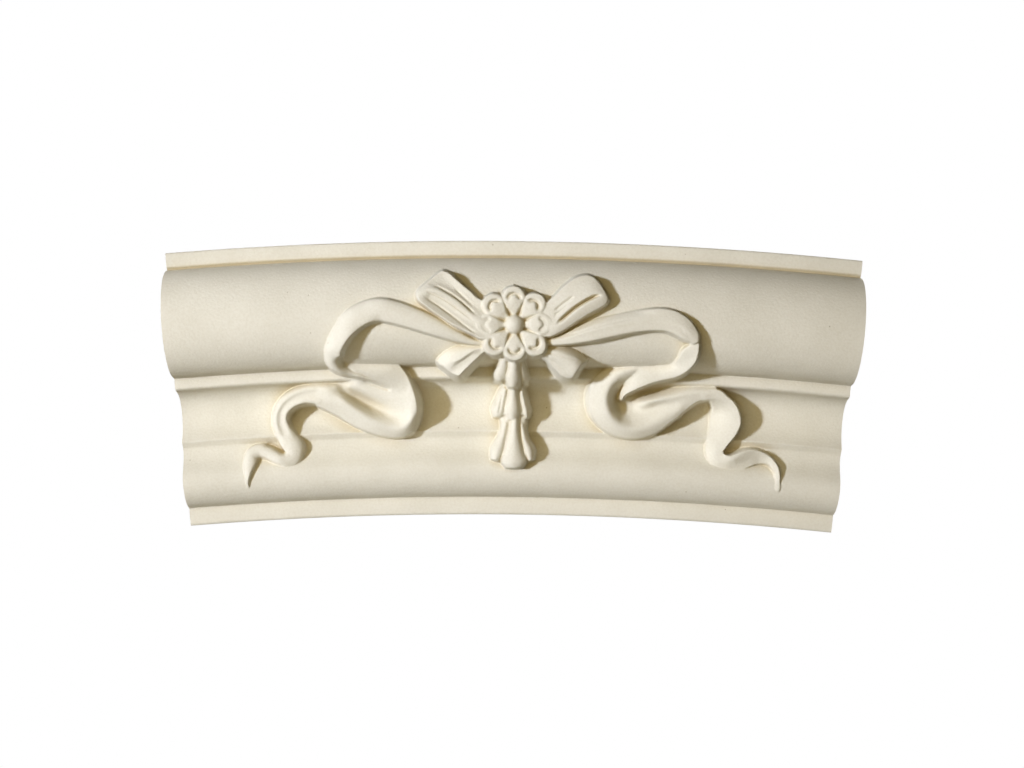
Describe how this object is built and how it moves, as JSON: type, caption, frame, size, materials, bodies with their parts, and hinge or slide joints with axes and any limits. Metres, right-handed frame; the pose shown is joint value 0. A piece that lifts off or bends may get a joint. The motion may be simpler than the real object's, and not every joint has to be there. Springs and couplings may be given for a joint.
{
  "type": "curved moulding",
  "caption": "Curved wall moulding segment cast in one piece, with a ribbon bow, rosette and bell-flower drop in relief on its face.",
  "frame": {"origin": "on the flat back, halfway across the face and halfway along the segment", "axes": "+X runs along the segment, +Z points to its outer edge, and +Y points out of the back into the wall"},
  "size_m": [0.6, 0.084, 0.2492],
  "materials": {
    "cream_casting": "matte cream primed casting, faint fine grain with a few pinholes"
  },
  "bodies": {
    "root": {"curved_moulding": "cream_casting"}
  },
  "joints": []
}
